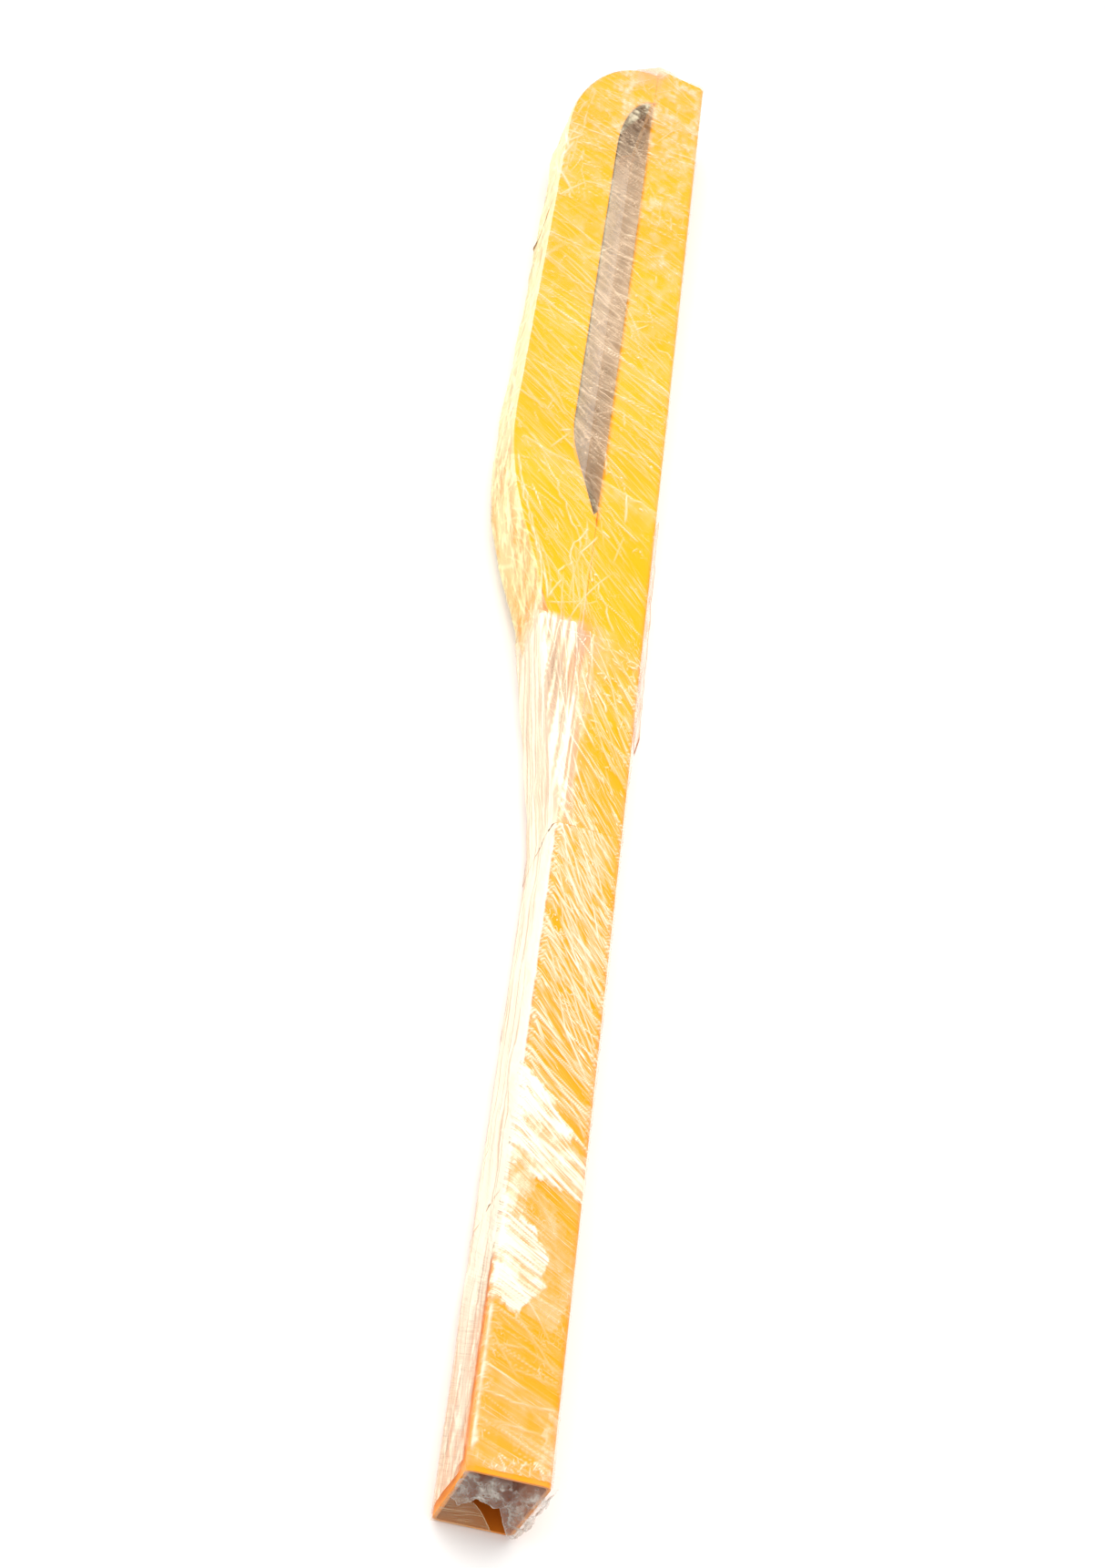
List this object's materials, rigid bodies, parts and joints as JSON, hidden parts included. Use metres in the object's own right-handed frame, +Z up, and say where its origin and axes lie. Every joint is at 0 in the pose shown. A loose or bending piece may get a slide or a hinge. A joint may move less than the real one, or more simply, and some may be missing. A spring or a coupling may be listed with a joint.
{
  "type": "box-section steel post with lock slot",
  "caption": "Orange-yellow painted box-section steel post, open at the foot, with a bow welded to one side of its upper half that leaves a long pointed slot, packed in clear stretch film.",
  "frame": {"origin": "on the resting surface, under the middle of the whole object", "axes": "+Y along the post from its open foot to its capped head, +X from the bow towards the plain side, +Z up out of the narrow front face; the post lies on its narrow rear face"},
  "size_m": [0.1668, 1.7848, 0.1008],
  "materials": {
    "paint": "satin powder coat",
    "weld_paint": "satin powder coat over ground weld",
    "stretch_film": "clear creased stretch film"
  },
  "bodies": {
    "root": {"post_tube": "paint", "post_cap": "paint", "bow_front_cheek": "paint", "bow_rear_cheek": "paint", "bow_leg_strip": "paint", "bow_side_strip": "paint", "bow_crown_strip": "paint", "bow_inner_strip": "paint", "weld_cap": "weld_paint", "weld_crown": "weld_paint", "weld_front_lower": "weld_paint", "weld_front_upper": "weld_paint", "weld_rear_lower": "weld_paint", "weld_rear_upper": "weld_paint", "weld_slot_tip": "weld_paint", "weld_slot_top": "weld_paint", "weld_toe": "weld_paint", "film_wrap_foot": "stretch_film", "film_wrap_shaft": "stretch_film", "film_wrap_neck": "stretch_film", "film_wrap_head": "stretch_film", "film_neck_web": "stretch_film", "film_tail": "stretch_film", "film_foot_tuck": "stretch_film"}
  },
  "joints": []
}
